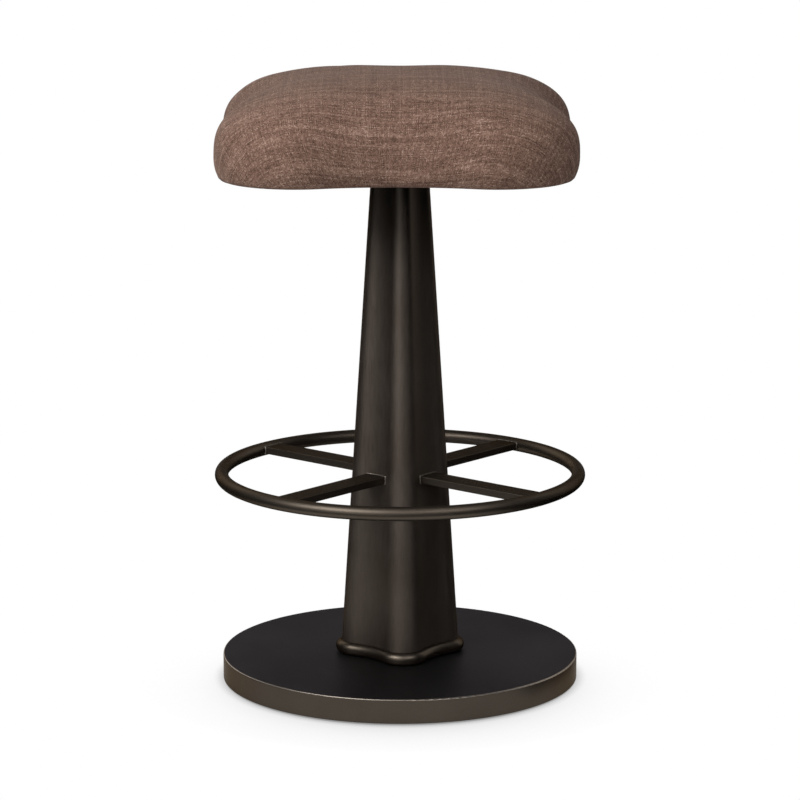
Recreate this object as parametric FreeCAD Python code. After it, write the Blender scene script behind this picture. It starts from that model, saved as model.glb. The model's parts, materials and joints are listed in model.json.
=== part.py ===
import FreeCAD, Part
import math
import os

# Swivel bar stool: a round cast base, a tapering column of four lobes, a foot ring on four flat spokes,
# and an upholstered four-lobed seat that turns on a spindle and a ball thrust bearing.
# Millimetres and degrees, +Z up, origin on the floor below the middle of the base, front towards -Y.

# Base and what it stands on
BASE_DIAMETER = 444.0
BASE_THICKNESS = 30.0
BASE_EDGE_ROUND = 1.5
BASE_TOP_WALL = 10.0
BASE_RIM_WALL = 16.0
BASE_RIB_THICKNESS = 10.0
BASE_BOSS_WALL = 10.0
BOTTOM_COVER_THICKNESS = 2.0
BOTTOM_COVER_LIP = 7.0
BOTTOM_COVER_CLEARANCE = 0.3
GLIDE_COUNT = 6
GLIDE_DIAMETER = 26.0
GLIDE_PAD_HEIGHT = 2.0
GLIDE_STEM_DIAMETER = 8.0
GLIDE_STEM_LENGTH = 12.0
GLIDE_STEM_CLEARANCE = 0.1
GLIDE_BOSS_WALL = 8.0
GLIDE_EDGE_DISTANCE = 34.0

# Bolts between base and column
BASE_BOLT_DIAMETER = 10.0
BASE_BOLT_HEAD_DIAMETER = 16.0
BASE_BOLT_HEAD_HEIGHT = 6.0
BASE_BOLT_HEAD_CLEARANCE = 2.0
BASE_BOLT_CLEARANCE = 0.5
BASE_BOLT_END_GAP = 1.0
BASE_BOLT_TIP_DISTANCE = 28.0
BASE_WASHER_DIAMETER = 20.0
BASE_WASHER_THICKNESS = 2.0
BASE_WASHER_CLEARANCE = 1.0
BASE_BOLT_SOCKET_WIDTH = 7.0
BASE_BOLT_SOCKET_DEPTH = 3.5
TAPPED_CLEARANCE = 0.1
FOOT_PLATE_THICKNESS = 12.0
FOOT_PLATE_CLEARANCE = 0.2

# Column: lobes to the front, back, left and right, hollows between them
COLUMN_FOOT_RADIUS = 74.2
COLUMN_FOOT_LOBE_RADIUS = 25.0
COLUMN_FOOT_HOLLOW_DEPTH = 4.9
COLUMN_TOP_RADIUS = 36.4
COLUMN_TOP_LOBE_RADIUS = 12.3
COLUMN_TOP_HOLLOW_DEPTH = 2.4
COLUMN_WALL = 3.0
FOOT_BEAD_DIAMETER = 17.0
FOOT_BEAD_SET_IN = 2.0
FOOT_BEAD_FLAT = 0.5

# Foot rest
FOOT_RING_RADIUS = 222.0
FOOT_RING_BAR_DIAMETER = 17.0
FOOT_RING_HEIGHT = 261.0
SPOKE_WIDTH = 30.0
SPOKE_THICKNESS = 9.0
SPOKE_EDGE_ROUND = 0.8
SPOKE_ANGLES = {"front_right": -45, "back_right": 45, "back_left": 135, "front_left": 225}

# Swivel
HEAD_PLATE_THICKNESS = 6.0
HEAD_PLATE_OVERHANG = 1.5
HUB_LENGTH = 90.0
HUB_CLEARANCE = 0.3
SPINDLE_DIAMETER = 25.0
RUNNING_CLEARANCE = 0.05
BUSH_WALL = 3.0
BUSH_LENGTH = 25.0
BUSH_FLANGE_WIDTH = 3.5
BUSH_FLANGE_THICKNESS = 2.0
BUSH_CLEARANCE = 0.02
RACE_BORE_CLEARANCE = 1.0
RACE_WIDTH = 11.0
RACE_THICKNESS = 4.0
RACE_GAP = 4.0
BALL_DIAMETER = 7.0
BALL_SPACING = 3.0
BALL_CLEARANCE = 0.05
CAGE_WALL = 1.0
CAGE_THICKNESS = 2.0
CAGE_CLEARANCE = 0.1
SPINDLE_PLAY = 0.3
SPINDLE_WASHER_THICKNESS = 2.0
SPINDLE_WASHER_WIDTH = 7.0
SPINDLE_END_LENGTH = 4.0
RETAINING_RING_THICKNESS = 1.5
RETAINING_RING_WIDTH = 4.0
RETAINING_RING_GROOVE_DEPTH = 1.5
RETAINING_RING_MOUTH = 14.0
RETAINING_RING_CLEARANCE = 0.05

# Seat frame
SEAT_TURN = -4.5
SEAT_PLATE_SIZE = 160.0
SEAT_PLATE_CORNER = 15.0
SEAT_PLATE_THICKNESS = 5.0
SEAT_SCREW_DIAMETER = 8.0
SEAT_SCREW_CLEARANCE = 0.5
SEAT_SCREW_EDGE_DISTANCE = 20.0
SEAT_SCREW_HEAD_WIDTH = 13.0
SEAT_SCREW_HEAD_HEIGHT = 5.3
SEAT_SCREW_END_GAP = 3.0
TEE_NUT_BARREL_WALL = 1.2
TEE_NUT_FLANGE_WIDTH = 5.0
TEE_NUT_FLANGE_THICKNESS = 1.5
TEE_NUT_BOTTOM_GAP = 3.0
TEE_NUT_CLEARANCE = 0.1
SEAT_BOARD_THICKNESS = 15.0
SEAT_BOARD_INSET = 4.0

# Cushion
SEAT_HEIGHT = 762.0
SEAT_WIDTH = 438.0
SEAT_CORNER_RADIUS = 100.0
SEAT_HOLLOW_DEPTH = 19.0
CUSHION_THICKNESS = 115.5
CUSHION_WIDEST_HEIGHT = 27.5
CUSHION_ROLL = 14.5
CROWN_HEIGHT_POWER = 2.81
CROWN_WIDTH_POWER = 2.44
CROWN_HOLLOW_FADE = 5.15
CROWN_FLAT_SHARE = 0.1
LEAST_HOLLOW_SHARE = 0.01
ROLL_STEPS = 3
CROWN_STEPS = 10
COVER_THICKNESS = 2.0
COVER_TURN_UNDER = 35.0
FOAM_CLEARANCE = 0.3
DUST_COVER_THICKNESS = 0.8
DUST_COVER_MARGIN = 15.0
DUST_COVER_HOLE_MARGIN = 6.0
STAPLE_COUNT = 36
STAPLE_LENGTH = 10.0
STAPLE_WIDTH = 1.2
STAPLE_THICKNESS = 0.6
STAPLE_EDGE_DISTANCE = 5.0

# Heights that follow, from the floor up
base_bottom = GLIDE_PAD_HEIGHT
base_top = base_bottom + BASE_THICKNESS
bottom_cover_top = base_bottom + BOTTOM_COVER_THICKNESS
bolt_head_bottom = bottom_cover_top + BASE_BOLT_HEAD_CLEARANCE
bolt_head_top = bolt_head_bottom + BASE_BOLT_HEAD_HEIGHT
bolt_seat = bolt_head_top + BASE_WASHER_THICKNESS
cushion_bottom = SEAT_HEIGHT - CUSHION_THICKNESS
board_bottom = cushion_bottom + COVER_THICKNESS
board_top = board_bottom + SEAT_BOARD_THICKNESS
seat_plate_bottom = board_bottom - SEAT_PLATE_THICKNESS
ball_height = seat_plate_bottom - RACE_THICKNESS - RACE_GAP / 2
head_top = ball_height - RACE_GAP / 2 - RACE_THICKNESS
column_top = head_top - HEAD_PLATE_THICKNESS
hub_bottom = head_top - HUB_LENGTH
washer_top = hub_bottom - BUSH_FLANGE_THICKNESS - SPINDLE_PLAY
retaining_ring_top = washer_top - SPINDLE_WASHER_THICKNESS
retaining_ring_bottom = retaining_ring_top - RETAINING_RING_THICKNESS
spindle_bottom = retaining_ring_bottom - SPINDLE_END_LENGTH

# Radii that follow, from the axis out
LOBES = 4
DIAGONAL = math.sqrt(0.5)
spindle_radius = SPINDLE_DIAMETER / 2
bush_bore_radius = spindle_radius + RUNNING_CLEARANCE
hub_bore_radius = bush_bore_radius + BUSH_WALL
bush_flange_radius = hub_bore_radius + BUSH_FLANGE_WIDTH
race_bore_radius = bush_flange_radius + RACE_BORE_CLEARANCE
race_outer_radius = race_bore_radius + RACE_WIDTH
ball_circle_radius = race_bore_radius + RACE_WIDTH / 2
ball_count = int(2 * math.pi * ball_circle_radius / (BALL_DIAMETER + BALL_SPACING))
ball_hole_radius = BALL_DIAMETER / 2 + CAGE_CLEARANCE
top_lobe_reach = COLUMN_TOP_RADIUS - COLUMN_TOP_LOBE_RADIUS
foot_lobe_reach = COLUMN_FOOT_RADIUS - COLUMN_FOOT_LOBE_RADIUS
column_top_hollow = top_lobe_reach * DIAGONAL + COLUMN_TOP_LOBE_RADIUS - COLUMN_TOP_HOLLOW_DEPTH
hub_outer_radius = column_top_hollow - COLUMN_WALL - HUB_CLEARANCE
base_radius = BASE_DIAMETER / 2
base_rim_inner = base_radius - BASE_RIM_WALL
bottom_cover_recess = base_radius - BOTTOM_COVER_LIP
glide_circle_radius = base_radius - GLIDE_EDGE_DISTANCE
glide_hole_radius = GLIDE_STEM_DIAMETER / 2 + GLIDE_STEM_CLEARANCE
bolt_circle_radius = COLUMN_FOOT_RADIUS - BASE_BOLT_TIP_DISTANCE
washer_pocket_radius = BASE_WASHER_DIAMETER / 2 + BASE_WASHER_CLEARANCE
screw_offset = SEAT_PLATE_SIZE / 2 - SEAT_SCREW_EDGE_DISTANCE
tee_nut_bore_radius = SEAT_SCREW_DIAMETER / 2 + TAPPED_CLEARANCE
tee_nut_barrel_radius = tee_nut_bore_radius + TEE_NUT_BARREL_WALL
tee_nut_flange_radius = tee_nut_barrel_radius + TEE_NUT_FLANGE_WIDTH
tee_nut_flange_bottom = board_top - TEE_NUT_FLANGE_THICKNESS


# Plain shapes

def cylinder(radius, low, high, place=(0.0, 0.0)):
    return Part.makeCylinder(radius, high - low, FreeCAD.Vector(place[0], place[1], low))


def ring(outer, inner, low, high, place=(0.0, 0.0)):
    return cylinder(outer, low, high, place).cut(cylinder(inner, low, high, place))


def rounded_square(size, corner, low, high):
    block = Part.makeBox(size, size, high - low, FreeCAD.Vector(-size / 2, -size / 2, low))
    upright = [edge for edge in block.Edges if abs(edge.tangentAt(edge.FirstParameter).z) > 0.5]
    return block.makeFillet(corner, upright)


def about_axis(shape, angle):
    turned = shape.copy()
    turned.rotate(FreeCAD.Vector(0, 0, 0), FreeCAD.Vector(0, 0, 1), angle)
    return turned


def around_circle(count, radius):
    angles = [math.radians(360.0 * number / count) for number in range(count)]
    return [(radius * math.cos(angle), radius * math.sin(angle)) for angle in angles]


def square_corners(offset):
    return [(offset, -offset), (offset, offset), (-offset, offset), (-offset, -offset)]


def polar(radius, angle, z):
    turn = math.radians(angle)
    return FreeCAD.Vector(radius * math.cos(turn), radius * math.sin(turn), z)


def lobed_wire(lobe_reach, lobe_radius, hollow_depth, z, first_lobe):
    """Four round lobes joined by four hollow arcs, each tangent to the next.

    lobe_reach runs from the axis to a lobe's centre, and hollow_depth is how far each side
    dips below the straight line that would touch its two lobes.
    """
    hollow = lobe_reach * DIAGONAL + lobe_radius - hollow_depth
    squares = lobe_reach ** 2 + hollow ** 2 - lobe_radius ** 2
    hollow_radius = (squares - 2 * DIAGONAL * lobe_reach * hollow) / (2 * hollow_depth)
    share = lobe_radius / (lobe_radius + hollow_radius)

    def meeting_point(lobe_angle, hollow_angle):
        lobe_centre = polar(lobe_reach, lobe_angle, z)
        hollow_centre = polar(hollow + hollow_radius, hollow_angle, z)
        return lobe_centre + (hollow_centre - lobe_centre) * share

    edges = []
    for number in range(LOBES):
        angle = first_lobe + 90 * number
        start = meeting_point(angle, angle - 45)
        middle = meeting_point(angle, angle + 45)
        end = meeting_point(angle + 90, angle + 45)
        tip = polar(lobe_reach + lobe_radius, angle, z)
        dip = polar(hollow, angle + 45, z)
        edges.append(Part.Arc(start, tip, middle).toShape())
        edges.append(Part.Arc(middle, dip, end).toShape())
    return Part.Wire(edges)


def prism(wire, height):
    return Part.Face(wire).extrude(FreeCAD.Vector(0, 0, height))


def hexagon_bar(width_across_flats, low, high, place):
    corners = around_circle(6, width_across_flats / math.sqrt(3))
    points = [FreeCAD.Vector(place[0] + x, place[1] + y, low) for x, y in corners]
    return prism(Part.makePolygon(points + points[:1]), high - low)


# Base

def glide_places():
    return around_circle(GLIDE_COUNT, glide_circle_radius)


def bolt_places():
    return around_circle(LOBES, bolt_circle_radius)


def base_hollow():
    """The open underside, between the rim, the middle boss, the ribs and the bosses of the glides."""
    pocket_top = base_top - BASE_TOP_WALL
    hollow = cylinder(base_rim_inner, base_bottom, pocket_top)
    boss_radius = bolt_circle_radius + washer_pocket_radius + BASE_BOSS_WALL
    hollow = hollow.cut(cylinder(boss_radius, base_bottom, pocket_top))
    corner = FreeCAD.Vector(0, -BASE_RIB_THICKNESS / 2, base_bottom)
    rib = Part.makeBox(base_rim_inner, BASE_RIB_THICKNESS, pocket_top - base_bottom, corner)
    for number, place in enumerate(glide_places()):
        hollow = hollow.cut(about_axis(rib, 360.0 * number / GLIDE_COUNT))
        hollow = hollow.cut(cylinder(glide_hole_radius + GLIDE_BOSS_WALL, base_bottom, pocket_top, place))
    return hollow


def base_casting():
    disc = cylinder(base_radius, base_bottom, base_top)
    top_edges = [edge for edge in disc.Edges if edge.BoundBox.ZMin > base_top - BASE_EDGE_ROUND]
    casting = disc.makeFillet(BASE_EDGE_ROUND, top_edges)
    casting = casting.cut(base_hollow())
    casting = casting.cut(cylinder(bottom_cover_recess, base_bottom, bottom_cover_top))
    glide_hole_top = base_bottom + GLIDE_STEM_LENGTH + GLIDE_STEM_CLEARANCE
    for place in glide_places():
        casting = casting.cut(cylinder(glide_hole_radius, base_bottom, glide_hole_top, place))
    for place in bolt_places():
        casting = casting.cut(cylinder(washer_pocket_radius, base_bottom, bolt_seat, place))
        bolt_hole_radius = BASE_BOLT_DIAMETER / 2 + BASE_BOLT_CLEARANCE
        casting = casting.cut(cylinder(bolt_hole_radius, base_bottom, base_top, place))
    return casting


def base_bottom_cover():
    cover = cylinder(bottom_cover_recess - BOTTOM_COVER_CLEARANCE, base_bottom, bottom_cover_top)
    for place in glide_places():
        cover = cover.cut(cylinder(glide_hole_radius, base_bottom, bottom_cover_top, place))
    return cover


def floor_glides():
    glides = []
    for place in glide_places():
        pad = cylinder(GLIDE_DIAMETER / 2, 0, base_bottom, place)
        stem = cylinder(GLIDE_STEM_DIAMETER / 2, 0, base_bottom + GLIDE_STEM_LENGTH, place)
        glides.append(pad.fuse(stem).removeSplitter())
    return Part.makeCompound(glides)


def base_bolts():
    bolts = []
    shank_top = base_top + FOOT_PLATE_THICKNESS - BASE_BOLT_END_GAP
    for place in bolt_places():
        head = cylinder(BASE_BOLT_HEAD_DIAMETER / 2, bolt_head_bottom, bolt_head_top, place)
        shank = cylinder(BASE_BOLT_DIAMETER / 2, bolt_head_bottom, shank_top, place)
        socket_top = bolt_head_bottom + BASE_BOLT_SOCKET_DEPTH
        socket = hexagon_bar(BASE_BOLT_SOCKET_WIDTH, bolt_head_bottom, socket_top, place)
        bolts.append(head.fuse(shank).removeSplitter().cut(socket))
    return Part.makeCompound(bolts)


def base_washers():
    inner = BASE_BOLT_DIAMETER / 2 + BASE_BOLT_CLEARANCE
    outer = BASE_WASHER_DIAMETER / 2
    return Part.makeCompound([ring(outer, inner, bolt_head_top, bolt_seat, place) for place in bolt_places()])


# Column

def column_form(inset):
    """The column as a filled form, drawn in from its outer surface by inset."""
    foot = lobed_wire(foot_lobe_reach, COLUMN_FOOT_LOBE_RADIUS - inset, COLUMN_FOOT_HOLLOW_DEPTH, base_top, 0)
    top = lobed_wire(top_lobe_reach, COLUMN_TOP_LOBE_RADIUS - inset, COLUMN_TOP_HOLLOW_DEPTH, column_top, 0)
    return Part.makeLoft([foot, top], True, True)


def column_shell():
    return column_form(0).cut(column_form(COLUMN_WALL))


def foot_plate():
    plate_top = base_top + FOOT_PLATE_THICKNESS
    slab = cylinder(COLUMN_FOOT_RADIUS, base_top, plate_top)
    plate = slab.common(column_form(COLUMN_WALL + FOOT_PLATE_CLEARANCE))
    for place in bolt_places():
        plate = plate.cut(cylinder(BASE_BOLT_DIAMETER / 2 + TAPPED_CLEARANCE, base_top, plate_top, place))
    return plate


def foot_bead():
    """Round moulding that follows the foot of the column, flat where it sits on the base."""
    bead_radius = FOOT_BEAD_DIAMETER / 2
    height = base_top + bead_radius - FOOT_BEAD_FLAT
    lobe_radius = COLUMN_FOOT_LOBE_RADIUS - FOOT_BEAD_SET_IN
    path = lobed_wire(foot_lobe_reach, lobe_radius, COLUMN_FOOT_HOLLOW_DEPTH, height, 0)
    start = path.Edges[0]
    centre = start.valueAt(start.FirstParameter)
    section = Part.Circle(centre, start.tangentAt(start.FirstParameter), bead_radius)
    bead = path.makePipeShell([Part.Wire(section.toShape())], True, False)
    bead = bead.cut(column_form(0))
    return bead.cut(cylinder(base_radius, base_bottom, base_top))


def foot_ring():
    centre = FreeCAD.Vector(0, 0, FOOT_RING_HEIGHT)
    return Part.makeTorus(FOOT_RING_RADIUS, FOOT_RING_BAR_DIAMETER / 2, centre)


def spoke(angle):
    """A flat bar shaped at its ends to the column and to the foot ring."""
    corner = FreeCAD.Vector(0, -SPOKE_WIDTH / 2, FOOT_RING_HEIGHT - SPOKE_THICKNESS / 2)
    bar = Part.makeBox(FOOT_RING_RADIUS, SPOKE_WIDTH, SPOKE_THICKNESS, corner)
    long_edges = [edge for edge in bar.Edges if abs(edge.tangentAt(edge.FirstParameter).x) > 0.5]
    bar = bar.makeFillet(SPOKE_EDGE_ROUND, long_edges)
    return about_axis(bar, angle).cut(column_form(0)).cut(foot_ring())


# Swivel

def head_plate():
    return ring(COLUMN_TOP_RADIUS + HEAD_PLATE_OVERHANG, hub_outer_radius, column_top, head_top)


def bearing_hub():
    return ring(hub_outer_radius, hub_bore_radius, hub_bottom, head_top)


def bush(seat, inward):
    """A flanged sleeve. seat is the hub's end face and inward is +1 or -1 along Z, into the hub."""
    sleeve_end = seat + inward * BUSH_LENGTH
    flange_face = seat - inward * BUSH_FLANGE_THICKNESS
    sleeve_outer = hub_bore_radius - BUSH_CLEARANCE
    sleeve = cylinder(sleeve_outer, min(sleeve_end, flange_face), max(sleeve_end, flange_face))
    flange = cylinder(bush_flange_radius, min(seat, flange_face), max(seat, flange_face))
    bore = cylinder(bush_bore_radius, min(sleeve_end, flange_face), max(sleeve_end, flange_face))
    return sleeve.fuse(flange).removeSplitter().cut(bore)


def race(low):
    """A bearing washer with the groove that its balls run in."""
    groove_radius = BALL_DIAMETER / 2 + BALL_CLEARANCE
    groove = Part.makeTorus(ball_circle_radius, groove_radius, FreeCAD.Vector(0, 0, ball_height))
    return ring(race_outer_radius, race_bore_radius, low, low + RACE_THICKNESS).cut(groove)


def ball_places():
    return around_circle(ball_count, ball_circle_radius)


def ball_cage():
    low = ball_height - CAGE_THICKNESS / 2
    high = ball_height + CAGE_THICKNESS / 2
    half_width = ball_hole_radius + CAGE_WALL
    cage = ring(ball_circle_radius + half_width, ball_circle_radius - half_width, low, high)
    for place in ball_places():
        cage = cage.cut(cylinder(ball_hole_radius, low, high, place))
    return cage


def thrust_balls():
    centres = [FreeCAD.Vector(x, y, ball_height) for x, y in ball_places()]
    return Part.makeCompound([Part.makeSphere(BALL_DIAMETER / 2, centre) for centre in centres])


def spindle():
    shaft = cylinder(spindle_radius, spindle_bottom, board_bottom)
    groove_radius = spindle_radius - RETAINING_RING_GROOVE_DEPTH
    return shaft.cut(ring(spindle_radius, groove_radius, retaining_ring_bottom, retaining_ring_top))


def spindle_washer():
    inner = spindle_radius + RUNNING_CLEARANCE
    return ring(inner + SPINDLE_WASHER_WIDTH, inner, retaining_ring_top, washer_top)


def retaining_ring():
    inner = spindle_radius - RETAINING_RING_GROOVE_DEPTH + RETAINING_RING_CLEARANCE
    outer = inner + RETAINING_RING_WIDTH
    corner = FreeCAD.Vector(0, -RETAINING_RING_MOUTH / 2, retaining_ring_bottom)
    mouth = Part.makeBox(outer, RETAINING_RING_MOUTH, RETAINING_RING_THICKNESS, corner)
    return ring(outer, inner, retaining_ring_bottom, retaining_ring_top).cut(mouth)


# Seat frame

def seat_plate():
    plate = rounded_square(SEAT_PLATE_SIZE, SEAT_PLATE_CORNER, seat_plate_bottom, board_bottom)
    plate = plate.cut(cylinder(spindle_radius + RUNNING_CLEARANCE, seat_plate_bottom, board_bottom))
    for place in square_corners(screw_offset):
        hole_radius = SEAT_SCREW_DIAMETER / 2 + SEAT_SCREW_CLEARANCE
        plate = plate.cut(cylinder(hole_radius, seat_plate_bottom, board_bottom, place))
    return plate


def seat_screws():
    screws = []
    for place in square_corners(screw_offset):
        head_bottom = seat_plate_bottom - SEAT_SCREW_HEAD_HEIGHT
        head = hexagon_bar(SEAT_SCREW_HEAD_WIDTH, head_bottom, seat_plate_bottom, place)
        shank = cylinder(SEAT_SCREW_DIAMETER / 2, seat_plate_bottom, board_top - SEAT_SCREW_END_GAP, place)
        screws.append(head.fuse(shank))
    return Part.makeCompound(screws)


def tee_nuts():
    nuts = []
    for place in square_corners(screw_offset):
        barrel = cylinder(tee_nut_barrel_radius, board_bottom + TEE_NUT_BOTTOM_GAP, board_top, place)
        flange = cylinder(tee_nut_flange_radius, tee_nut_flange_bottom, board_top, place)
        bore = cylinder(tee_nut_bore_radius, board_bottom, board_top, place)
        nuts.append(barrel.fuse(flange).removeSplitter().cut(bore))
    return Part.makeCompound(nuts)


def seat_wire(half_width, corner_radius, hollow_depth, z):
    """Seat outline with its lobes on the diagonals; half_width is to the straight line across two lobes."""
    reach = (half_width - corner_radius) / DIAGONAL
    return lobed_wire(reach, corner_radius, hollow_depth, z, 45)


def underside_wire(margin, z):
    """The outline of the cushion's flat underside, drawn in by margin."""
    inset = CUSHION_ROLL + margin
    return seat_wire(SEAT_WIDTH / 2 - inset, SEAT_CORNER_RADIUS - inset, SEAT_HOLLOW_DEPTH, z)


def board_block():
    return prism(underside_wire(SEAT_BOARD_INSET, board_bottom), SEAT_BOARD_THICKNESS)


def seat_board():
    board = board_block()
    for place in square_corners(screw_offset):
        barrel_hole = tee_nut_barrel_radius + TEE_NUT_CLEARANCE
        flange_pocket = tee_nut_flange_radius + TEE_NUT_CLEARANCE
        board = board.cut(cylinder(barrel_hole, board_bottom, board_top, place))
        board = board.cut(cylinder(flange_pocket, tee_nut_flange_bottom, board_top, place))
    return board


# Cushion

def cushion_form(inset):
    """The whole cushion as a filled form, drawn in from its outer surface by inset.

    Its lower edge rolls in to the underside, and its crown is rounded both ways while the
    hollows of its four sides fade towards the top.
    """
    half_width = SEAT_WIDTH / 2 - inset
    corner_radius = SEAT_CORNER_RADIUS - inset
    low = cushion_bottom + inset
    widest = cushion_bottom + CUSHION_WIDEST_HEIGHT
    crown = SEAT_HEIGHT - inset - widest
    wires = []
    for step in range(ROLL_STEPS):
        angle = math.pi / 2 * step / ROLL_STEPS
        draw_in = CUSHION_ROLL * (1 - math.sin(angle))
        z = low + (widest - low) * (1 - math.cos(angle))
        wires.append(seat_wire(half_width - draw_in, corner_radius - draw_in, SEAT_HOLLOW_DEPTH, z))
    last_angle = math.acos(CROWN_FLAT_SHARE ** (CROWN_WIDTH_POWER / 2))
    for step in range(CROWN_STEPS + 1):
        angle = last_angle * step / CROWN_STEPS
        spread = math.cos(angle) ** (2 / CROWN_WIDTH_POWER)
        rise = math.sin(angle) ** (2 / CROWN_HEIGHT_POWER)
        depth = SEAT_HOLLOW_DEPTH * spread * (1 - rise ** CROWN_HOLLOW_FADE)
        depth = max(depth, LEAST_HOLLOW_SHARE * half_width * spread)
        wires.append(seat_wire(half_width * spread, corner_radius * spread, depth, widest + crown * rise))
    return Part.makeLoft(wires, True, False)


def seat_cover():
    cover = cushion_form(0).cut(cushion_form(COVER_THICKNESS))
    return cover.cut(prism(underside_wire(COVER_TURN_UNDER, cushion_bottom), COVER_THICKNESS))


def seat_foam():
    return cushion_form(COVER_THICKNESS + FOAM_CLEARANCE).cut(board_block())


def dust_cover():
    low = cushion_bottom - DUST_COVER_THICKNESS
    cloth = prism(underside_wire(DUST_COVER_MARGIN, low), DUST_COVER_THICKNESS)
    hole_size = SEAT_PLATE_SIZE + 2 * DUST_COVER_HOLE_MARGIN
    return cloth.cut(rounded_square(hole_size, SEAT_PLATE_CORNER, low, cushion_bottom))


def dust_cover_staples():
    """Staple backs lying along the edge of the cloth."""
    top = cushion_bottom - DUST_COVER_THICKNESS
    line = underside_wire(DUST_COVER_MARGIN + STAPLE_EDGE_DISTANCE, top)
    points = line.discretize(Number=STAPLE_COUNT + 1)[:STAPLE_COUNT]
    corner = FreeCAD.Vector(-STAPLE_LENGTH / 2, -STAPLE_WIDTH / 2, -STAPLE_THICKNESS)
    staples = []
    for number, point in enumerate(points):
        along = points[(number + 1) % STAPLE_COUNT] - points[number - 1]
        back = Part.makeBox(STAPLE_LENGTH, STAPLE_WIDTH, STAPLE_THICKNESS, corner)
        turned = about_axis(back, math.degrees(math.atan2(along.y, along.x)))
        turned.translate(point)
        staples.append(turned)
    return Part.makeCompound(staples)


# Files, one for each piece

def stand_pieces():
    pieces = {
        "base_casting": base_casting(),
        "base_bottom_cover": base_bottom_cover(),
        "floor_glides": floor_glides(),
        "base_bolts": base_bolts(),
        "base_washers": base_washers(),
        "foot_plate": foot_plate(),
        "column_shell": column_shell(),
        "foot_bead": foot_bead(),
        "foot_ring": foot_ring(),
        "head_plate": head_plate(),
        "bearing_hub": bearing_hub(),
        "upper_bush": bush(head_top, -1),
        "lower_bush": bush(hub_bottom, 1),
        "lower_race": race(head_top),
    }
    for place, angle in SPOKE_ANGLES.items():
        pieces["spoke_" + place] = spoke(angle)
    return pieces


def cage_pieces():
    return {
        "ball_cage": ball_cage(),
        "thrust_balls": thrust_balls(),
    }


def seat_pieces():
    return {
        "upper_race": race(seat_plate_bottom - RACE_THICKNESS),
        "spindle": spindle(),
        "spindle_washer": spindle_washer(),
        "retaining_ring": retaining_ring(),
        "seat_plate": seat_plate(),
        "seat_screws": seat_screws(),
        "tee_nuts": tee_nuts(),
        "seat_board": seat_board(),
        "seat_foam": seat_foam(),
        "seat_cover": seat_cover(),
        "dust_cover": dust_cover(),
        "dust_cover_staples": dust_cover_staples(),
    }


os.makedirs("parts", exist_ok=True)
turned_seat = {name: about_axis(piece, SEAT_TURN) for name, piece in seat_pieces().items()}
for name, piece in {**stand_pieces(), **cage_pieces(), **turned_seat}.items():
    piece.exportStep("parts/" + name + ".step")
    state = "valid" if piece.isValid() else "NOT VALID"
    print(name, len(piece.Solids), "solids", round(piece.Volume), "mm3", state)
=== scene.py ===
import json
import math

import bpy
import numpy as np
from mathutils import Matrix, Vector


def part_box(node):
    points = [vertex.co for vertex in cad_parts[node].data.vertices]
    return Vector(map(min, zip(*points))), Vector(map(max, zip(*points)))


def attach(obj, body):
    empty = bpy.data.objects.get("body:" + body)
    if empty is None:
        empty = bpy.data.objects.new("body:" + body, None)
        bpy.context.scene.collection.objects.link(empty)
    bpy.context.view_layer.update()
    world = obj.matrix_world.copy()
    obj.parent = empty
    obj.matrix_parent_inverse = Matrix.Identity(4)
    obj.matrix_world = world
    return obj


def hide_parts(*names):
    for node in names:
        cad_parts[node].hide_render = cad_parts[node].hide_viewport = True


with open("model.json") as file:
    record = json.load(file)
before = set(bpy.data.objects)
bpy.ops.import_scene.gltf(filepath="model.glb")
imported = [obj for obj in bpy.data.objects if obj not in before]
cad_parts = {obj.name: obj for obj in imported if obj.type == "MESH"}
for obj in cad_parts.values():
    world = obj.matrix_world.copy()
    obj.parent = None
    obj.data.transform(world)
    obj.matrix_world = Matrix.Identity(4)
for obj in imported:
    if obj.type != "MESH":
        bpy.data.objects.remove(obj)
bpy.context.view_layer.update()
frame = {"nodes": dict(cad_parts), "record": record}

# Swivel bar stool: finishes for the stand, and the cushion, cloth and welds built around it.
# Metres, +Z up, front towards -Y. Colours are linear red, green and blue.

# Camera
CAMERA_AZIMUTH = math.radians(4.5)
CAMERA_DISTANCE = 4.3748
CAMERA_HEIGHT = 1.2552
CAMERA_TILT = math.radians(78.35)
CAMERA_LENS_MM = 162.0
CAMERA_SENSOR_MM = 36.0

# Lamps, where a brightness of 1 is white
BACKGROUND_LEVEL = 1.0
AMBIENT_LEVEL = 0.15
LAMP_TARGET = (0.0, 0.0, 0.45)
LAMPS = [
    # Name, place, width, height and brightness
    ("key_softbox", (-1.34, -1.28, 1.80), 1.5, 1.2, 7.6),
    ("fill_softbox", (0.90, -1.56, 1.88), 1.0, 1.0, 3.2),
    ("top_softbox", (0.60, -0.36, 2.64), 1.0, 1.0, 1.2),
    ("back_softbox", (-1.25, 1.75, 1.20), 1.6, 1.6, 1.1),
]

# Floor, with a wide soft shadow behind the base and a tight one under its rim
FLOOR_SIZE = 60.0
FLOOR_ALBEDO = 0.80
OPEN_FLOOR_SHARE = 0.97
SHADOW_SAMPLES = 8
WIDE_SHADOW_REACH = 0.11
WIDE_SHADOW_TONE = 0.62
WIDE_SHADOW_FACING = (0.0, 0.94, 0.34)
TIGHT_SHADOW_REACH = 0.014
TIGHT_SHADOW_TONE = 0.35

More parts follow.
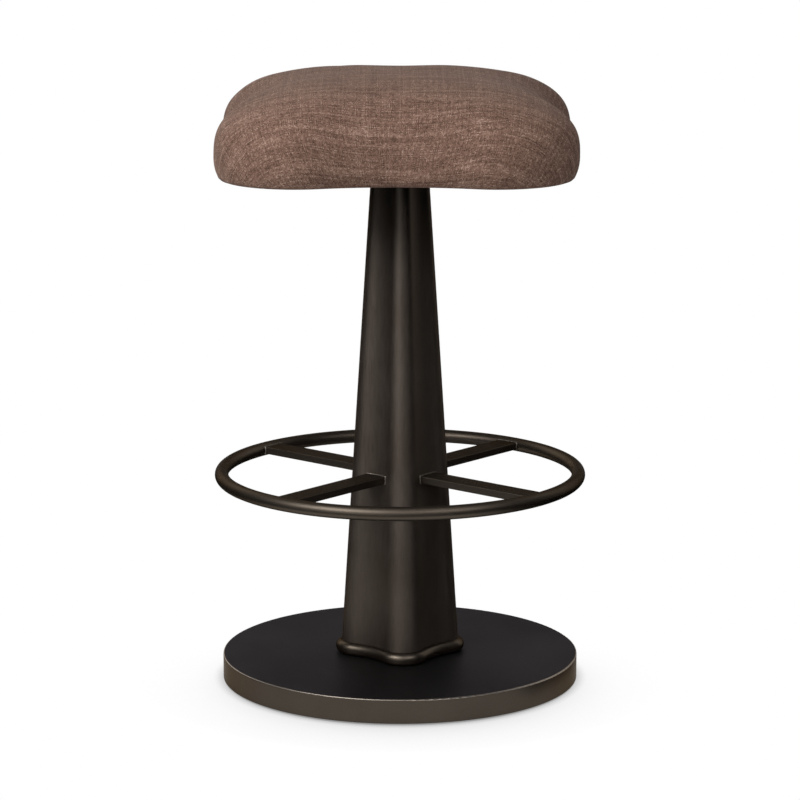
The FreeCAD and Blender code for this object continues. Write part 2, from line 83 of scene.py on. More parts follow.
# Black screens that only reflections see: radius and height along each, and degrees from the front
FLAG_RADIUS = 3.2
FLAG_HEIGHT = 3.3
LOW_FLAG_HEIGHT = 1.165
LEFT_APRON_RADIUS = 0.56
RIGHT_APRON_RADIUS = 0.27
APRON_HEIGHT = 0.002
TOP_FLAG_HOLE = 0.01
FLAG_STEP_DEGREES = 5.0
HIGH_SCREEN = [(FLAG_RADIUS, 0.0), (FLAG_RADIUS, FLAG_HEIGHT)]
LOW_SCREEN = [(FLAG_RADIUS, 0.0), (FLAG_RADIUS, LOW_FLAG_HEIGHT)]
LEFT_APRON = [(LEFT_APRON_RADIUS, APRON_HEIGHT), (FLAG_RADIUS, APRON_HEIGHT)]
RIGHT_APRON = [(RIGHT_APRON_RADIUS, APRON_HEIGHT), (FLAG_RADIUS, APRON_HEIGHT)]
CEILING = [(TOP_FLAG_HOLE, FLAG_HEIGHT), (FLAG_RADIUS, FLAG_HEIGHT)]
FLAGS = [
    ("right_flag", HIGH_SCREEN, 45.0, 105.0),
    ("left_flag", HIGH_SCREEN, -135.0, -75.0),
    ("front_flag", LOW_SCREEN, -15.0, 45.0),
    ("side_flag", LOW_SCREEN, -75.0, -45.0),
    ("left_floor_flag", LEFT_APRON, -180.0, 50.0),
    ("right_floor_flag", RIGHT_APRON, 50.0, 180.0),
    ("top_flag", CEILING, -180.0, 180.0),
]

# Cushion, with these sizes as in the solid
SEAT_TURN = math.radians(-4.5)
SEAT_HALF_WIDTH = 0.219
SEAT_CORNER_RADIUS = 0.100
SEAT_HOLLOW_DEPTH = 0.019
CUSHION_WIDEST_HEIGHT = 0.0275
CROWN_HEIGHT_POWER = 2.81
CROWN_HOLLOW_FADE = 5.15
COVER_TURN_UNDER = 0.035

# Cushion, where the stuffed cover departs a little from the solid
CROWN_WIDTH_POWER = 2.53
LEAST_HOLLOW_SHARE = 0.004
CUSHION_ROLL = 0.0120
CUSHION_SHIFT = -0.0041
FRONT_FULLNESS = 0.0022
FRONT_SHARPNESS = 1.6

# Cushion mesh, its filling, and the dents as direction, length and phase of waves
GRID_HALF_COUNT = 90
PROFILE_STEPS = 240
ROLL_STEPS = 60
TURN_UNDER_RINGS = 8
CLOSING_MARGIN = 0.001
HELD_HEIGHT = 0.004
FILL_GRID_HALF_COUNT = 24
FILL_SMOOTHING = 14
FILL_ROOM = 0.0006
FILL_CAP = 0.0014
FILL_FRAMES = 20
FILL_GRAVITY = 0.0
FILL_SETTINGS = {
    "quality": 6,
    "mass": 0.3,
    "tension_stiffness": 30.0,
    "compression_stiffness": 30.0,
    "bending_stiffness": 2.0,
    "use_pressure": True,
    "uniform_pressure_force": 4.0,
}
DENT_HEIGHT = 0.0007
DENT_WAVES = [
    ((1.0, 0.3, 0.5), 0.11, 0.4),
    ((-0.4, 1.0, 0.2), 0.083, 1.9),
    ((0.6, -0.7, 0.9), 0.061, 3.1),
]

# Cloth under the seat, with its outline as in the solid
CLOTH_HALF_WIDTH = 0.1895
CLOTH_CORNER_RADIUS = 0.0705
CLOTH_HOLE_HALF_WIDTH = 0.086
CLOTH_HOLE_CORNER = 0.015
NO_HOLLOW = 0.00001
CLOTH_THICKNESS = 0.0008
CLOTH_SPOKES = 216
CLOTH_RINGS = 22
STAPLE_REACH = 0.006
HANG_FRAMES = 25
HANG_GRAVITY = 1.0
HANG_SETTINGS = {
    "quality": 8,
    "mass": 0.05,
    "tension_stiffness": 60.0,
    "compression_stiffness": 60.0,
    "shear_stiffness": 20.0,
    "bending_stiffness": 0.6,
    "shrink_min": 0.006,
}

# Welds at the ends of the spokes
SPOKE_HALF_WIDTH = 0.015
SPOKE_HALF_THICKNESS = 0.0045
SPOKE_EDGE_ROUND = 0.0008
SPOKE_ANGLES = [math.radians(45 + 90 * number) for number in range(4)]
RING_HEIGHT = 0.261
RING_RADIUS = 0.222
RING_BAR_RADIUS = 0.0085
FLUTE_MIDDLE = 0.1252
FLUTE_RADIUS = 0.0811
COLUMN_TAPER = 0.0472
WELD_RADIUS = 0.0013
WELD_POINTS = 120
WELD_CORNER_POINTS = 9
WELD_SIDES = 10
WELD_RIPPLES = 34
WELD_RIPPLE_DEPTH = 0.12

# Noise values lie mostly between these two
NOISE_LOW = 0.3
NOISE_HIGH = 0.7
TINY = 1e-6

# Metal, with each pair of tones from dark to light
COLUMN_TONES = [(0.096, 0.075, 0.060), (0.152, 0.128, 0.109)]
RING_TONES = [(0.088, 0.072, 0.057), (0.114, 0.095, 0.076)]
RIM_TONES = [(0.072, 0.058, 0.046), (0.098, 0.081, 0.066)]
# Painted shade: darker near-black tones for the base's flat top, standing in for the dark reflection it
# shows, beside the rim's bronze
SHADED_TOP_TONES = [(0.071, 0.067, 0.067), (0.091, 0.086, 0.086)]
# Weld beads: their own bronze, lightened as a painted highlight for the glints at the spoke ends
WELD_GLINT_TONES = [(0.130, 0.112, 0.095), (0.250, 0.220, 0.190)]
STEEL_TONES = [(0.42, 0.42, 0.43), (0.62, 0.62, 0.64)]
BUSH_TONES = [(0.46, 0.30, 0.14), (0.64, 0.45, 0.24)]
# Painted highlight: a lighter colour along the base's rounded top edge, standing in for the lamp's highlight
# there
PAINTED_EDGE_HIGHLIGHT = (0.300, 0.265, 0.230)
BROWN_EDGE = (0.20, 0.20, 0.20)
GREY_EDGE = (0.283, 0.283, 0.290)
RIM_EDGE = (0.50, 0.45, 0.40)
COLUMN_ROUGHNESS = 0.53
RING_ROUGHNESS = 0.46
BEAD_ROUGHNESS = 0.40
BASE_ROUGHNESS = 0.42
WELD_ROUGHNESS = 0.36
STEEL_ROUGHNESS = 0.32
BUSH_ROUGHNESS = 0.3
BRONZE_SWING = 0.05
PLATED_SWING = 0.07
FINE_GRAIN = (700.0, 700.0, 700.0)
UPRIGHT_GRAIN = (900.0, 900.0, 14.0)
STEEL_GRAIN = (300.0, 300.0, 900.0)
BUSH_GRAIN = (200.0, 200.0, 1200.0)
BRONZE_RELIEF = 0.00004
PLATED_RELIEF = 0.00002
PATINA_SCALE = 9.0
PATINA_SHARE = 0.55
GRAIN_SHARE = 0.45

# Upward part of the base's normal, where the painted highlight along its rounded top edge and the painted
# shade of the flat top begin and are full
EDGE_HIGHLIGHT_FROM = 0.20
EDGE_HIGHLIGHT_TO = 0.50
TOP_FROM = 0.93
TOP_TO = 0.995

# Paint, plastic and plywood
PAINT_TONES = [(0.012, 0.012, 0.012), (0.024, 0.024, 0.024)]
PLASTIC_TONES = [(0.018, 0.018, 0.018), (0.036, 0.036, 0.036)]
FLAG_TONES = [(0.004, 0.004, 0.004), (0.006, 0.006, 0.006)]
PAINT_ROUGHNESS = 0.55
PLASTIC_ROUGHNESS = 0.6
FLAG_ROUGHNESS = 0.9
PAINT_SWING = 0.08
PAINT_SPECK = 0.0012
PLASTIC_SPECK = 0.0009
FLAG_SPECK = 0.001
PAINT_RELIEF = 0.00008
PAINT_CLOUD_SCALE = 14.0
PLY_STOPS = [(0.25, (0.36, 0.22, 0.11)), (0.55, (0.58, 0.41, 0.24)), (0.8, (0.70, 0.54, 0.35))]
PLY_BAND_SCALE = 130.0
PLY_SHARE = 0.3
WOOD_GRAIN = (14.0, 160.0, 160.0)
WOOD_GRAIN_SHARE = 0.7
WOOD_RELIEF = 0.0002

# Upholstery, with slubs as length and share of the yarn's tone
THREAD_PITCH = 0.0013
WARP_SLUBS = [(0.0055, 0.52), (0.022, 0.32)]
WEFT_SLUBS = [(0.0065, 0.45), (0.038, 0.36)]
YARN_ROW_STEP = 7.31
WEFT_SHARE_UNDER = 0.16
WEFT_SHARE_RISE = 0.8
FUZZ_SHARE = 0.10
FUZZ_SCALE = 900.0
KNOT_SHARE = 0.15
BAR_LENGTH = 0.070
BAR_WIDTH = 0.0100
BAR_CONTRAST = 0.13
WEAVE_STOPS = [
    (0.30, (0.040, 0.021, 0.015)),
    (0.44, (0.132, 0.075, 0.055)),
    (0.55, (0.218, 0.130, 0.096)),
    (0.70, (0.430, 0.300, 0.238)),
]
WEAVE_RELIEF = 0.00022
SLUB_RELIEF_SHARE = 0.8
SHEEN_WEIGHT = 0.11
SHEEN_ROUGHNESS = 0.35
SHEEN_TINT = (0.70, 0.60, 0.54)

# Foam and felted cloth
FOAM_TONES = [(0.70, 0.62, 0.42), (0.88, 0.82, 0.64)]
UNDERLAY_TONES = [(0.15, 0.09, 0.07), (0.22, 0.13, 0.10)]
DUST_CLOTH_TONES = [(0.008, 0.008, 0.009), (0.022, 0.022, 0.024)]
FELT_SCALE = 900.0
FELT_STRETCH = (1.0, 1.0, 0.2)
FELT_RELIEF = 0.0002


# Small helpers

def link_object(name, data):
    item = bpy.data.objects.new(name, data)
    bpy.context.scene.collection.objects.link(item)
    return item


def mesh_piece(name, vertices, faces, smooth=True):
    mesh = bpy.data.meshes.new(name)
    mesh.from_pydata([tuple(point) for point in vertices], [], faces)
    mesh.update()
    for polygon in mesh.polygons:
        polygon.use_smooth = smooth
    return link_object(name, mesh)


def grid_faces(columns, rows):
    """Faces between the points of a grid that is numbered column by column."""
    faces = []
    for column in range(columns - 1):
        for row in range(rows - 1):
            first = column * rows + row
            faces.append((first, first + rows, first + rows + 1, first + 1))
    return faces


def band_faces(outer, inner):
    """Faces between two closed loops of as many points."""
    outer_after = outer[1:] + outer[:1]
    inner_after = inner[1:] + inner[:1]
    return list(zip(outer, inner, inner_after, outer_after))


def set_points(mesh, points):
    mesh.vertices.foreach_set("co", points.astype(np.float32).ravel())
    mesh.update()


def get_points(mesh):
    points = np.zeros(len(mesh.vertices) * 3, np.float32)
    mesh.vertices.foreach_get("co", points)
    return points.reshape(-1, 3).astype(float)


def get_normals(mesh):
    normals = np.zeros(len(mesh.vertices) * 3, np.float32)
    mesh.vertices.foreach_get("normal", normals)
    return normals.reshape(-1, 3).astype(float)


def run_cloth(piece, held, frames, gravity, settings):
    """Runs a cloth simulation with the held points fixed, and keeps its last frame as the piece's mesh."""
    group = piece.vertex_groups.new(name="held")
    group.add([int(number) for number in np.flatnonzero(held)], 1.0, "REPLACE")
    cloth = piece.modifiers.new("cloth", "CLOTH")
    for key, value in settings.items():
        setattr(cloth.settings, key, value)
    cloth.settings.vertex_group_mass = group.name
    cloth.settings.effector_weights.gravity = gravity
    cloth.point_cache.frame_start = 1
    cloth.point_cache.frame_end = frames
    scene = bpy.context.scene
    for number in range(1, frames + 1):
        scene.frame_set(number)
    moved = bpy.data.meshes.new_from_object(piece.evaluated_get(bpy.context.evaluated_depsgraph_get()))
    points = get_points(moved)
    bpy.data.meshes.remove(moved)
    piece.modifiers.remove(cloth)
    scene.frame_set(1)
    set_points(piece.data, points)


class Shader:
    """A node material built around one Principled shader."""

    def __init__(self, name):
        self.material = bpy.data.materials.new(name)
        self.material.use_nodes = True
        self.tree = self.material.node_tree
        self.principled = self.tree.nodes["Principled BSDF"]

    def node(self, kind, **settings):
        made = self.tree.nodes.new(kind)
        for key, value in settings.items():
            setattr(made, key, value)
        return made

    def put(self, socket, value):
        if isinstance(value, bpy.types.NodeSocket):
            self.tree.links.new(value, socket)
        else:
            socket.default_value = value

    def math(self, operation, first, second=0.0, third=0.0):
        made = self.node("ShaderNodeMath", operation=operation)
        for socket, value in zip(made.inputs, (first, second, third)):
            self.put(socket, value)
        return made.outputs[0]

    def flat_vector(self, x, y):
        made = self.node("ShaderNodeCombineXYZ")
        for socket, value in zip(made.inputs, (x, y)):
            self.put(socket, value)
        return made.outputs[0]

    def split(self, vector):
        """The three parts of a vector."""
        made = self.node("ShaderNodeSeparateXYZ")
        self.put(made.inputs[0], vector)
        return made.outputs

    def place(self, scale=(1.0, 1.0, 1.0)):
        """Coordinates fixed to the piece, in metres times scale."""
        coordinates = self.node("ShaderNodeTexCoord").outputs["Object"]
        mapping = self.node("ShaderNodeMapping")
        mapping.inputs["Scale"].default_value = scale
        self.put(mapping.inputs["Vector"], coordinates)
        return mapping.outputs["Vector"]

    def noise(self, vector, scale=1.0, detail=2.0, roughness=0.5, dimensions="3D"):
        made = self.node("ShaderNodeTexNoise", noise_dimensions=dimensions)
        self.put(made.inputs["Vector"], vector)
        made.inputs["Scale"].default_value = scale
        made.inputs["Detail"].default_value = detail
        made.inputs["Roughness"].default_value = roughness
        return made.outputs[0]

    def spread(self, value, low, high, from_low=NOISE_LOW, from_high=NOISE_HIGH):
        """Stretches a value to the range from low to high, clamped."""
        made = self.node("ShaderNodeMapRange", clamp=True)
        for socket, number in zip(made.inputs, (value, from_low, from_high, low, high)):
            self.put(socket, number)
        return made.outputs[0]

    def between(self, share, first, second):
        """A number between first and second."""
        made = self.node("ShaderNodeMix", data_type="FLOAT")
        for key, value in (("Factor", share), ("A", first), ("B", second)):
            self.put(made.inputs[key], value)
        return made.outputs[0]

    def blend(self, share, first, second):
        """A colour between first and second."""
        made = self.node("ShaderNodeMix", data_type="RGBA")
        for number, value in ((0, share), (6, first), (7, second)):
            self.put(made.inputs[number], value)
        return made.outputs[2]

    def ramp(self, value, stops):
        made = self.node("ShaderNodeValToRGB")
        elements = made.color_ramp.elements
        while len(elements) < len(stops):
            elements.new(0.5)
        for element, (position, colour) in zip(elements, stops):
            element.position = position
            element.color = (*colour, 1.0)
        self.put(made.inputs[0], value)
        return made.outputs[0]

    def two_tone(self, value, tones):
        """A colour between a dark and a light tone, by a noise value."""
        return self.ramp(value, list(zip((NOISE_LOW, NOISE_HIGH), tones)))

    def bump(self, height, distance, strength):
        made = self.node("ShaderNodeBump")
        made.inputs["Strength"].default_value = strength
        made.inputs["Distance"].default_value = distance
        self.put(made.inputs["Height"], height)
        self.put(self.principled.inputs["Normal"], made.outputs["Normal"])

    def set(self, **values):
        """Principled sockets by name, with underscores for spaces."""
        for name, value in values.items():
            self.put(self.principled.inputs[name.replace("_", " ")], value)
        return self.material


# Metals

def patina(shader, grain_scale):
    """Fine grain drawn out by grain_scale, and the same grain mixed with broad clouds."""
    clouds = shader.noise(shader.place(), PATINA_SCALE, detail=4.0)
    grain = shader.noise(shader.place(grain_scale), detail=3.0, roughness=0.6)
    cloudy = shader.math("MULTIPLY_ADD", grain, GRAIN_SHARE, shader.math("MULTIPLY", clouds, PATINA_SHARE))
    return grain, cloudy


def bronze_look(shader, colour, grain, roughness, edge):
    """Metal of this colour with a raised grain, whose edge-on reflection has the colour edge."""
    shader.bump(grain, BRONZE_RELIEF, strength=0.5)
    dull = shader.spread(grain, roughness - BRONZE_SWING, roughness + BRONZE_SWING)
    return shader.set(Base_Color=colour, Metallic=1.0, Roughness=dull, Specular_Tint=edge)


def bronze_finish(name, tones, grain_scale, roughness):
    """Dark bronze with a cloudy patina and a dull edge-on reflection."""
    shader = Shader(name)
    grain, cloudy = patina(shader, grain_scale)
    return bronze_look(shader, shader.two_tone(cloudy, tones), grain, roughness, (*BROWN_EDGE, 1.0))


def base_finish(name):
    """Bronze on the rim, with a painted highlight as a lighter colour along its rounded top edge, and painted
    shade as darker near-black tones on the flat top.
    """
    shader = Shader(name)
    grain, cloudy = patina(shader, FINE_GRAIN)
    side = shader.two_tone(cloudy, RIM_TONES)
    # Painted shade: the flat top gets darker, more neutral tones and a neutral edge-on tint, standing in for
    # the dark reflection it shows
    top = shader.two_tone(cloudy, SHADED_TOP_TONES)
    normal_z = shader.split(shader.node("ShaderNodeNewGeometry").outputs["Normal"])[2]
    top_shade_share = shader.spread(normal_z, 0.0, 1.0, TOP_FROM, TOP_TO)
    # Painted highlight: where the normal turns from the side towards the top, the rim's colour is lightened
    # to stand in for the lamp's highlight on the rounded edge
    edge_highlight_share = shader.spread(normal_z, 0.0, 1.0, EDGE_HIGHLIGHT_FROM, EDGE_HIGHLIGHT_TO)
    rim_with_highlight = shader.blend(edge_highlight_share, side, (*PAINTED_EDGE_HIGHLIGHT, 1.0))
    colour = shader.blend(top_shade_share, rim_with_highlight, top)
    edge = shader.ramp(top_shade_share, [(0.0, RIM_EDGE), (1.0, GREY_EDGE)])
    return bronze_look(shader, colour, grain, BASE_ROUGHNESS, edge)


def plain_metal(name, tones, grain_scale, roughness):
    """Bare or plated metal with a turned grain."""
    shader = Shader(name)
    grain = shader.noise(shader.place(grain_scale), detail=3.0)
    shader.bump(grain, PLATED_RELIEF, strength=0.4)
    dull = shader.spread(grain, roughness - PLATED_SWING, roughness + PLATED_SWING)
    return shader.set(Base_Color=shader.two_tone(grain, tones), Metallic=1.0, Roughness=dull)


# Paint, plastic and wood

def paint_finish(name, tones, roughness, speck_size):
    """Paint or moulded plastic with a fine raised texture."""
    shader = Shader(name)
    specks = shader.noise(shader.place(), 1.0 / speck_size)
    clouds = shader.noise(shader.place(), PAINT_CLOUD_SCALE, detail=3.0)
    shader.bump(specks, PAINT_RELIEF, strength=0.4)
    dull = shader.spread(specks, roughness - PAINT_SWING, roughness + PAINT_SWING)
    return shader.set(Base_Color=shader.two_tone(clouds, tones), Roughness=dull, Specular_IOR_Level=0.3)


def plywood_finish(name):
    """Plies seen from the side, grain on the faces."""
    shader = Shader(name)
    grain = shader.noise(shader.place(WOOD_GRAIN), detail=5.0)
    plies = shader.node("ShaderNodeTexWave", wave_type="BANDS", bands_direction="Z")
    shader.put(plies.inputs["Vector"], shader.place())
    plies.inputs["Scale"].default_value = PLY_BAND_SCALE
    plies.inputs["Distortion"].default_value = 0.4
    bands = shader.math("MULTIPLY", plies.outputs[1], PLY_SHARE)
    colour = shader.ramp(shader.math("MULTIPLY_ADD", grain, WOOD_GRAIN_SHARE, bands), PLY_STOPS)
    shader.bump(grain, WOOD_RELIEF, strength=0.4)
    return shader.set(Base_Color=colour, Roughness=shader.spread(grain, 0.6, 0.8))


# Fabrics

def yarn_tone(shader, along, thread, slubs):
    """One yarn's light and dark: slubs along it, and a tone of its own."""
    row = shader.math("MULTIPLY", thread, YARN_ROW_STEP)
    own = shader.node("ShaderNodeTexWhiteNoise", noise_dimensions="1D")
    shader.put(own.inputs["W"], thread)
    tone = shader.math("MULTIPLY", own.outputs["Value"], 1.0 - sum(share for _, share in slubs))
    for length, share in slubs:
        place = shader.flat_vector(shader.math("DIVIDE", along, length), row)
        streak = shader.noise(place, roughness=0.7, dimensions="2D")
        tone = shader.math("MULTIPLY_ADD", streak, share, tone)
    return tone


def yarn_bulge(shader, place):
    """Height across yarns that lie one unit apart."""
    return shader.math("SINE", shader.math("MULTIPLY", shader.math("FRACT", place), math.pi))


def fabric_finish(name):
    """Plain weave of slubbed yarns, laid out by the piece's weave coordinates."""
    shader = Shader(name)
    weave = shader.node("ShaderNodeAttribute", attribute_name="weave").outputs["Vector"]
    across, along, _ = shader.split(weave)
    warp_place = shader.math("DIVIDE", across, THREAD_PITCH)
    weft_place = shader.math("DIVIDE", along, THREAD_PITCH)
    warp_number = shader.math("FLOOR", warp_place)
    weft_number = shader.math("FLOOR", weft_place)
    weft_over = shader.math("FLOORED_MODULO", shader.math("ADD", warp_number, weft_number), 2.0)

    weft_share = shader.math("MULTIPLY_ADD", weft_over, WEFT_SHARE_RISE, WEFT_SHARE_UNDER)
    warp_tone = yarn_tone(shader, along, warp_number, WARP_SLUBS)
    weft_tone = yarn_tone(shader, across, weft_number, WEFT_SLUBS)
    yarns = shader.between(weft_share, warp_tone, weft_tone)
    fuzz = shader.noise(weave, FUZZ_SCALE)
    knots = shader.node("ShaderNodeTexWhiteNoise", noise_dimensions="2D")
    shader.put(knots.inputs["Vector"], shader.flat_vector(warp_number, weft_number))
    bar_across = shader.math("DIVIDE", across, BAR_LENGTH)
    bar_along = shader.math("DIVIDE", along, BAR_WIDTH)
    bars = shader.noise(shader.flat_vector(bar_across, bar_along), dimensions="2D")
    tone = shader.math("MULTIPLY", knots.outputs["Value"], KNOT_SHARE)
    tone = shader.math("MULTIPLY_ADD", fuzz, FUZZ_SHARE, tone)
    tone = shader.math("MULTIPLY_ADD", yarns, 1.0 - FUZZ_SHARE - KNOT_SHARE, tone)
    tone = shader.math("MULTIPLY_ADD", shader.math("SUBTRACT", bars, 0.5), BAR_CONTRAST, tone)

    bulge = shader.between(weft_over, yarn_bulge(shader, warp_place), yarn_bulge(shader, weft_place))
    relief = shader.math("MULTIPLY_ADD", yarns, SLUB_RELIEF_SHARE, bulge)
    shader.bump(relief, WEAVE_RELIEF, strength=0.6)
    return shader.set(
        Base_Color=shader.ramp(tone, WEAVE_STOPS),
        Roughness=shader.spread(fuzz, 0.82, 0.98),
        Specular_IOR_Level=0.15,
        Sheen_Weight=SHEEN_WEIGHT,
        Sheen_Roughness=SHEEN_ROUGHNESS,
        Sheen_Tint=(*SHEEN_TINT, 1.0),
    )


def felt_finish(name, tones):
    """Thin non-woven cloth with pressed fibres, or foam."""
    shader = Shader(name)
    fibres = shader.noise(shader.place(FELT_STRETCH), FELT_SCALE, detail=4.0, roughness=0.7)
    shader.bump(fibres, FELT_RELIEF, strength=0.5)
    dull = shader.spread(fibres, 0.85, 1.0)
    return shader.set(Base_Color=shader.two_tone(fibres, tones), Roughness=dull, Specular_IOR_Level=0.1)


def dress_frame(finishes):
    """Gives each solid of the frame its own finish, or that of its material slot."""
    slots = {row["node"]: row["material_slot"] for row in frame["record"]["subparts"]}
    for node, piece in frame["nodes"].items():
        finish = finishes.get(node) or finishes.get(slots[node])
        for number in range(len(piece.data.materials)):
            piece.data.materials[number] = finish


# Cushion

def lobed_radius(angle, half_width, corner, depth):
    """Distance from the axis to an outline of four round lobes on the diagonals, with hollow sides."""
    reach = (half_width - corner) * math.sqrt(2.0)
    valley = reach * math.sqrt(0.5) + corner - depth
    bend = (reach ** 2 + valley ** 2 - corner ** 2 - math.sqrt(2.0) * reach * valley) / (2.0 * depth)
    middle = valley + bend
    from_lobe = np.abs(angle % (math.pi / 2) - math.pi / 4)
    share = corner / (corner + bend)
    meet_x = reach + (middle * math.sqrt(0.5) - reach) * share
    meet_y = middle * math.sqrt(0.5) * share
    lobe_part = from_lobe <= np.arctan2(meet_y, meet_x)
    lobe = reach * np.cos(from_lobe)
    lobe += np.sqrt(np.maximum(corner ** 2 - (reach * np.sin(from_lobe)) ** 2, 0.0))
    from_valley = math.pi / 4 - from_lobe
    hollow = middle * np.cos(from_valley)
    hollow -= np.sqrt(np.maximum(bend ** 2 - (middle * np.sin(from_valley)) ** 2, 0.0))
    return np.where(lobe_part, lobe, hollow)


def cushion_profile(low, high):
    """Half width, corner, hollow and height of the outline, from the top of the crown to the underside."""
    widest = low + CUSHION_WIDEST_HEIGHT
    crown = high - widest
    rows = []
    for angle in np.linspace(math.pi / 2, 0.0, PROFILE_STEPS):
        spread = max(math.cos(angle), TINY) ** (2 / CROWN_WIDTH_POWER)
        rise = math.sin(angle) ** (2 / CROWN_HEIGHT_POWER)
        depth = SEAT_HOLLOW_DEPTH * spread * (1 - rise ** CROWN_HOLLOW_FADE)
        depth = max(depth, LEAST_HOLLOW_SHARE * SEAT_HALF_WIDTH * spread)
        rows.append((SEAT_HALF_WIDTH * spread, SEAT_CORNER_RADIUS * spread, depth, widest + crown * rise))
    for angle in np.linspace(math.pi / 2, 0.0, ROLL_STEPS)[1:]:
        draw_in = CUSHION_ROLL * (1 - math.sin(angle))
        z = low + CUSHION_WIDEST_HEIGHT * (1 - math.cos(angle))
        rows.append((SEAT_HALF_WIDTH - draw_in, SEAT_CORNER_RADIUS - draw_in, SEAT_HOLLOW_DEPTH, z))
    return rows


def grid_polar(count):
    """Ring number, from 0 to 1, and angle of each point of a square grid laid over a round form."""
    steps = np.arange(-count, count + 1)
    column, row = np.meshgrid(steps, steps, indexing="ij")
    ring = np.maximum(np.abs(column), np.abs(row))
    safe = np.maximum(ring, 1)
    sideways = np.abs(column) >= np.abs(row)
    angle = np.where(sideways, np.pi / 4 * row / safe, np.pi / 2 - np.pi / 4 * column / safe)
    angle = np.where(sideways & (column < 0), np.pi - np.pi / 4 * row / safe, angle)
    angle = np.where(~sideways & (row < 0), -np.pi / 2 + np.pi / 4 * column / safe, angle)
    return ring.ravel() / count, angle.ravel()


def edge_loop(count):
    """Numbers of the grid's points around its outer edge, once round."""
    side = list(range(2 * count))
    last = 2 * count
    loop = [(step, 0) for step in side] + [(last, step) for step in side]
    loop += [(last - step, last) for step in side] + [(0, last - step) for step in side]
    return [column * (2 * count + 1) + row for column, row in loop]


def polar_points(radius, angle, z):
    return np.column_stack([radius * np.cos(angle), radius * np.sin(angle), 0 * angle + z])


def cover_grid(profile, count):
    """Radius, angle, height and way from the top of each point of a grid over crown and sides."""
    ring, angle = grid_polar(count)
    radii = np.array([lobed_radius(angle, half, corner, depth) for half, corner, depth, _ in profile])
    radii[0] = 0.0
    heights = np.array([row[3] for row in profile])
    steps = np.hypot(np.diff(radii, axis=0), np.diff(heights)[:, None])
    lengths = np.vstack([np.zeros(len(angle)), np.cumsum(steps, axis=0)])
    from_top = ring * lengths[-1]
    levels = np.arange(len(profile))
    level = np.array([np.interp(way, lengths[:, point], levels) for point, way in enumerate(from_top)])
    whole = np.clip(level.astype(int), 0, len(profile) - 2)
    part = level - whole
    number = np.arange(len(angle))
    radius = radii[whole, number] * (1 - part) + radii[whole + 1, number] * part
    z = heights[whole] * (1 - part) + heights[whole + 1] * part
    return radius, angle, z, from_top


def front_fullness(angle, z, low, high):
    """How far the front of the cover stands out between its widest part and its top."""
    risen = np.clip((z - low - CUSHION_WIDEST_HEIGHT) / (high - low - CUSHION_WIDEST_HEIGHT), 0.0, 1.0)
    towards_front = np.clip(-FRONT_SHARPNESS * np.sin(angle), 0.0, 1.0)
    return FRONT_FULLNESS * np.sin(math.pi * risen) ** 2 * towards_front


def seat_place(points):
    """Points moved by the cover's shift and turned as the seat stands at rest."""
    cosine, sine = math.cos(SEAT_TURN), math.sin(SEAT_TURN)
    x, y, z = points.T
    x = x + CUSHION_SHIFT
    return np.column_stack([x * cosine - y * sine, x * sine + y * cosine, z])


def cushion_mesh(low, high, closing_height, count):
    """Closed cushion: a grid over crown and sides, rings turned under, and a closing face in the board.

    Gives its points, faces and weave coordinates, and which points stay where they are.
    """
    profile = cushion_profile(low, high)
    radius, angle, z, from_top = cover_grid(profile, count)
    radius += front_fullness(angle, z, low, high)
    points = [polar_points(radius, angle, z)]
    weave = [polar_points(from_top, angle, 0.0)]
    faces = grid_faces(2 * count + 1, 2 * count + 1)
    loop = edge_loop(count)
    loop_angle = angle[loop]
    margins = [(COVER_TURN_UNDER * (step + 1) / TURN_UNDER_RINGS, low) for step in range(TURN_UNDER_RINGS)]
    margins.append((COVER_TURN_UNDER + CLOSING_MARGIN, closing_height))
    inner_half, inner_corner, hollow_depth, _ = profile[-1]
    previous = loop
    total = len(angle)
    for margin, margin_z in margins:
        reach = lobed_radius(loop_angle, inner_half - margin, inner_corner - margin, hollow_depth)
        points.append(polar_points(reach, loop_angle, margin_z))
        weave.append(polar_points(from_top[loop] + margin, loop_angle, 0.0))
        now = list(range(total, total + len(loop)))
        faces += band_faces(previous, now)
        previous = now
        total += len(loop)
    faces.append(tuple(previous))
    placed = seat_place(np.vstack(points))
    held = placed[:, 2] < low + HELD_HEIGHT
    held |= np.arange(total) >= len(angle)
    return placed, faces, np.vstack(weave), held


def finer(field, count):
    """A field over the coarse grid, spread over a grid of the given half count and smoothed."""
    coarse = np.linspace(-1.0, 1.0, len(field))
    fine = np.linspace(-1.0, 1.0, 2 * count + 1)
    rows = np.array([np.interp(fine, coarse, field[:, number]) for number in range(len(field))])
    spread = np.array([np.interp(fine, coarse, rows[:, number]) for number in range(len(fine))])
    for _ in range(FILL_SMOOTHING):
        inside = spread[:-2, 1:-1] + spread[2:, 1:-1] + spread[1:-1, :-2] + spread[1:-1, 2:]
        spread[1:-1, 1:-1] = spread[1:-1, 1:-1] / 2 + inside / 8
    return spread


def filled_shift(low, high, closing_height):
    """How far the filling moves the cover.

    A coarse cover, a little too small, is blown up with its underside held.
    """
    points, faces, _, held = cushion_mesh(low, high, closing_height, FILL_GRID_HALF_COUNT)
    piece = mesh_piece("cover_form", points, faces)
    start = points - get_normals(piece.data) * FILL_ROOM * (~held)[:, None]
    set_points(piece.data, start)
    run_cloth(piece, held, FILL_FRAMES, FILL_GRAVITY, FILL_SETTINGS)
    moved = get_points(piece.data) - start
    distance = np.linalg.norm(moved, axis=1)
    share = np.minimum(1.0, FILL_CAP / np.maximum(distance, TINY))
    shift = start + moved * share[:, None] - points
    bpy.data.objects.remove(piece)
    size = 2 * FILL_GRID_HALF_COUNT + 1
    grids = [shift[:size * size, axis].reshape(size, size) for axis in range(3)]
    return np.column_stack([finer(grid, GRID_HALF_COUNT).ravel() for grid in grids])


